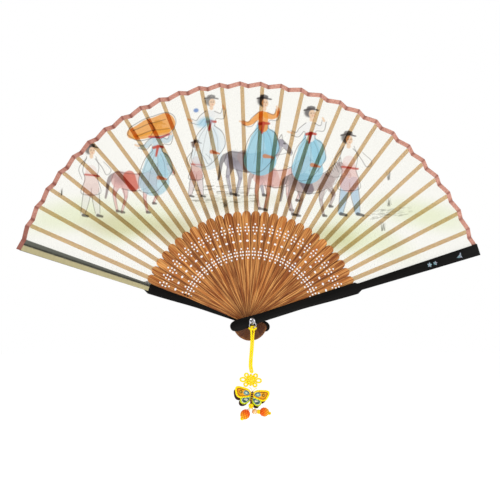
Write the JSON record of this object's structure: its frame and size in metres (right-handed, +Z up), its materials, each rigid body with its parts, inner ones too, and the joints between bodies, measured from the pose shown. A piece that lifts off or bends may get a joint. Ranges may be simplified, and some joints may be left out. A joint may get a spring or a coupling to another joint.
{
  "type": "folding hand fan",
  "caption": "Open folding fan: bamboo sticks and lacquered guards on one rivet, pleated painted silk leaf with bound edge, butterfly tassel on a ring",
  "frame": {"origin": "on the rivet's axis, at the middle of the stack of sticks", "axes": "+X to the right and the fan's longest extent, +Y along the rivet towards the back and the shortest extent, +Z up along the middle of the open leaf"},
  "size_m": [0.4037, 0.0368, 0.2948],
  "materials": {
    "black_lacquer": "glossy black lacquer on bamboo, worn lighter on its bevels",
    "brown_bamboo": "polished red-brown stained bamboo with fine grain",
    "pearl": "iridescent shell inlay, teal to pink",
    "silk": "sheer cream silk, plain weave, ink and colour painting",
    "binding_tape": "pinkish-brown paper-silk binding",
    "silver_metal": "polished silver-coloured metal",
    "yellow_cord": "bright yellow satin cord",
    "gold_cloth": "orange and gold embroidered cloth, yellow edge",
    "teal_cloth": "white and teal embroidered cloth, green edge",
    "dark_cloth": "very dark brown satin backing",
    "clear_bead": "milky clear bead",
    "amber_bead": "amber bead with cream swirl",
    "berry_thread": "orange-red knotted thread berry"
  },
  "bodies": {
    "core": {"stick_14": "brown_bamboo", "rivet_pin": "silver_metal", "rivet_front_cap": "silver_metal", "rivet_rear_cap": "silver_metal", "leaf": "silk", "edge_tape": "binding_tape"},
    "guard_rear": {"guard_rear": "black_lacquer"},
    "stick_01": {"stick_01": "brown_bamboo"},
    "stick_02": {"stick_02": "brown_bamboo"},
    "stick_03": {"stick_03": "brown_bamboo"},
    "stick_04": {"stick_04": "brown_bamboo"},
    "stick_05": {"stick_05": "brown_bamboo"},
    "stick_06": {"stick_06": "brown_bamboo"},
    "stick_07": {"stick_07": "brown_bamboo"},
    "stick_08": {"stick_08": "brown_bamboo"},
    "stick_09": {"stick_09": "brown_bamboo"},
    "stick_10": {"stick_10": "brown_bamboo"},
    "stick_11": {"stick_11": "brown_bamboo"},
    "stick_12": {"stick_12": "brown_bamboo"},
    "stick_13": {"stick_13": "brown_bamboo"},
    "stick_15": {"stick_15": "brown_bamboo"},
    "stick_16": {"stick_16": "brown_bamboo"},
    "stick_17": {"stick_17": "brown_bamboo"},
    "stick_18": {"stick_18": "brown_bamboo"},
    "stick_19": {"stick_19": "brown_bamboo"},
    "stick_20": {"stick_20": "brown_bamboo"},
    "stick_21": {"stick_21": "brown_bamboo"},
    "stick_22": {"stick_22": "brown_bamboo"},
    "stick_23": {"stick_23": "brown_bamboo"},
    "stick_24": {"stick_24": "brown_bamboo"},
    "stick_25": {"stick_25": "brown_bamboo"},
    "stick_26": {"stick_26": "brown_bamboo"},
    "stick_27": {"stick_27": "brown_bamboo"},
    "stick_28": {"stick_28": "brown_bamboo"},
    "guard_front": {"guard_front": "black_lacquer", "inlay_bird": "pearl", "inlay_blossom_outer": "pearl", "inlay_blossom_inner": "pearl"},
    "ring": {"jump_ring": "silver_metal"},
    "tassel": {"tassel_cord": "yellow_cord", "endless_knot": "yellow_cord", "butterfly_wing_upper_left": "gold_cloth", "butterfly_wing_upper_right": "gold_cloth", "butterfly_wing_lower_left": "teal_cloth", "butterfly_wing_lower_right": "teal_cloth", "butterfly_body": "dark_cloth", "tassel_knot": "yellow_cord", "pendant_left_bead": "clear_bead", "pendant_left_berry": "berry_thread", "pendant_left_tip": "yellow_cord", "pendant_right_bead": "amber_bead", "pendant_right_cap": "yellow_cord", "pendant_right_berry": "berry_thread", "pendant_right_tip": "yellow_cord"}
  },
  "joints": [
    {"name": "fan_fold", "type": "hinge", "parent": "core", "child": "stick_15", "pos_m": [0, 0, 0], "axis": [0, -1, 0], "range_deg": [0, 4.97], "deforming": ["leaf", "edge_tape"]},
    {"name": "fold_stick_16", "type": "hinge", "parent": "stick_15", "child": "stick_16", "pos_m": [0, 0, 0], "axis": [0, -1, 0], "range_deg": [0, 4.97]},
    {"name": "fold_stick_17", "type": "hinge", "parent": "stick_16", "child": "stick_17", "pos_m": [0, 0, 0], "axis": [0, -1, 0], "range_deg": [0, 4.97]},
    {"name": "fold_stick_18", "type": "hinge", "parent": "stick_17", "child": "stick_18", "pos_m": [0, 0, 0], "axis": [0, -1, 0], "range_deg": [0, 4.97]},
    {"name": "fold_stick_19", "type": "hinge", "parent": "stick_18", "child": "stick_19", "pos_m": [0, 0, 0], "axis": [0, -1, 0], "range_deg": [0, 4.97]},
    {"name": "fold_stick_20", "type": "hinge", "parent": "stick_19", "child": "stick_20", "pos_m": [0, 0, 0], "axis": [0, -1, 0], "range_deg": [0, 4.97]},
    {"name": "fold_stick_21", "type": "hinge", "parent": "stick_20", "child": "stick_21", "pos_m": [0, 0, 0], "axis": [0, -1, 0], "range_deg": [0, 4.97]},
    {"name": "fold_stick_22", "type": "hinge", "parent": "stick_21", "child": "stick_22", "pos_m": [0, 0, 0], "axis": [0, -1, 0], "range_deg": [0, 4.97]},
    {"name": "fold_stick_23", "type": "hinge", "parent": "stick_22", "child": "stick_23", "pos_m": [0, 0, 0], "axis": [0, -1, 0], "range_deg": [0, 4.97]},
    {"name": "fold_stick_24", "type": "hinge", "parent": "stick_23", "child": "stick_24", "pos_m": [0, 0, 0], "axis": [0, -1, 0], "range_deg": [0, 4.97]},
    {"name": "fold_stick_25", "type": "hinge", "parent": "stick_24", "child": "stick_25", "pos_m": [0, 0, 0], "axis": [0, -1, 0], "range_deg": [0, 4.97]},
    {"name": "fold_stick_26", "type": "hinge", "parent": "stick_25", "child": "stick_26", "pos_m": [0, 0, 0], "axis": [0, -1, 0], "range_deg": [0, 4.97]},
    {"name": "fold_stick_27", "type": "hinge", "parent": "stick_26", "child": "stick_27", "pos_m": [0, 0, 0], "axis": [0, -1, 0], "range_deg": [0, 4.97]},
    {"name": "fold_stick_28", "type": "hinge", "parent": "stick_27", "child": "stick_28", "pos_m": [0, 0, 0], "axis": [0, -1, 0], "range_deg": [0, 4.97]},
    {"name": "fold_guard_front", "type": "hinge", "parent": "stick_28", "child": "guard_front", "pos_m": [0, 0, 0], "axis": [0, -1, 0], "range_deg": [0, 4.97]},
    {"name": "fold_stick_13", "type": "hinge", "parent": "core", "child": "stick_13", "pos_m": [0, 0, 0], "axis": [0, 1, 0], "range_deg": [0, 4.97]},
    {"name": "fold_stick_12", "type": "hinge", "parent": "stick_13", "child": "stick_12", "pos_m": [0, 0, 0], "axis": [0, 1, 0], "range_deg": [0, 4.97]},
    {"name": "fold_stick_11", "type": "hinge", "parent": "stick_12", "child": "stick_11", "pos_m": [0, 0, 0], "axis": [0, 1, 0], "range_deg": [0, 4.97]},
    {"name": "fold_stick_10", "type": "hinge", "parent": "stick_11", "child": "stick_10", "pos_m": [0, 0, 0], "axis": [0, 1, 0], "range_deg": [0, 4.97]},
    {"name": "fold_stick_09", "type": "hinge", "parent": "stick_10", "child": "stick_09", "pos_m": [0, 0, 0], "axis": [0, 1, 0], "range_deg": [0, 4.97]},
    {"name": "fold_stick_08", "type": "hinge", "parent": "stick_09", "child": "stick_08", "pos_m": [0, 0, 0], "axis": [0, 1, 0], "range_deg": [0, 4.97]},
    {"name": "fold_stick_07", "type": "hinge", "parent": "stick_08", "child": "stick_07", "pos_m": [0, 0, 0], "axis": [0, 1, 0], "range_deg": [0, 4.97]},
    {"name": "fold_stick_06", "type": "hinge", "parent": "stick_07", "child": "stick_06", "pos_m": [0, 0, 0], "axis": [0, 1, 0], "range_deg": [0, 4.97]},
    {"name": "fold_stick_05", "type": "hinge", "parent": "stick_06", "child": "stick_05", "pos_m": [0, 0, 0], "axis": [0, 1, 0], "range_deg": [0, 4.97]},
    {"name": "fold_stick_04", "type": "hinge", "parent": "stick_05", "child": "stick_04", "pos_m": [0, 0, 0], "axis": [0, 1, 0], "range_deg": [0, 4.97]},
    {"name": "fold_stick_03", "type": "hinge", "parent": "stick_04", "child": "stick_03", "pos_m": [0, 0, 0], "axis": [0, 1, 0], "range_deg": [0, 4.97]},
    {"name": "fold_stick_02", "type": "hinge", "parent": "stick_03", "child": "stick_02", "pos_m": [0, 0, 0], "axis": [0, 1, 0], "range_deg": [0, 4.97]},
    {"name": "fold_stick_01", "type": "hinge", "parent": "stick_02", "child": "stick_01", "pos_m": [0, 0, 0], "axis": [0, 1, 0], "range_deg": [0, 4.97]},
    {"name": "fold_guard_rear", "type": "hinge", "parent": "stick_01", "child": "guard_rear", "pos_m": [0, 0, 0], "axis": [0, 1, 0], "range_deg": [0, 4.97]},
    {"name": "ring_swing", "type": "hinge", "parent": "core", "child": "ring", "pos_m": [0, -0.0174, -0.00055], "axis": [-1, 0, 0], "range_deg": [0, 75]},
    {"name": "tassel_swing", "type": "hinge", "parent": "ring", "child": "tassel", "pos_m": [0, -0.0174, -0.00335], "axis": [0, 1, 0], "range_deg": [-60, 60]}
  ],
  "couplings": [
    {"joint": "fold_stick_16", "follows": "fan_fold", "ratio": 1},
    {"joint": "fold_stick_17", "follows": "fan_fold", "ratio": 1},
    {"joint": "fold_stick_18", "follows": "fan_fold", "ratio": 1},
    {"joint": "fold_stick_19", "follows": "fan_fold", "ratio": 1},
    {"joint": "fold_stick_20", "follows": "fan_fold", "ratio": 1},
    {"joint": "fold_stick_21", "follows": "fan_fold", "ratio": 1},
    {"joint": "fold_stick_22", "follows": "fan_fold", "ratio": 1},
    {"joint": "fold_stick_23", "follows": "fan_fold", "ratio": 1},
    {"joint": "fold_stick_24", "follows": "fan_fold", "ratio": 1},
    {"joint": "fold_stick_25", "follows": "fan_fold", "ratio": 1},
    {"joint": "fold_stick_26", "follows": "fan_fold", "ratio": 1},
    {"joint": "fold_stick_27", "follows": "fan_fold", "ratio": 1},
    {"joint": "fold_stick_28", "follows": "fan_fold", "ratio": 1},
    {"joint": "fold_guard_front", "follows": "fan_fold", "ratio": 1},
    {"joint": "fold_stick_13", "follows": "fan_fold", "ratio": 1},
    {"joint": "fold_stick_12", "follows": "fan_fold", "ratio": 1},
    {"joint": "fold_stick_11", "follows": "fan_fold", "ratio": 1},
    {"joint": "fold_stick_10", "follows": "fan_fold", "ratio": 1},
    {"joint": "fold_stick_09", "follows": "fan_fold", "ratio": 1},
    {"joint": "fold_stick_08", "follows": "fan_fold", "ratio": 1},
    {"joint": "fold_stick_07", "follows": "fan_fold", "ratio": 1},
    {"joint": "fold_stick_06", "follows": "fan_fold", "ratio": 1},
    {"joint": "fold_stick_05", "follows": "fan_fold", "ratio": 1},
    {"joint": "fold_stick_04", "follows": "fan_fold", "ratio": 1},
    {"joint": "fold_stick_03", "follows": "fan_fold", "ratio": 1},
    {"joint": "fold_stick_02", "follows": "fan_fold", "ratio": 1},
    {"joint": "fold_stick_01", "follows": "fan_fold", "ratio": 1},
    {"joint": "fold_guard_rear", "follows": "fan_fold", "ratio": 1}
  ]
}
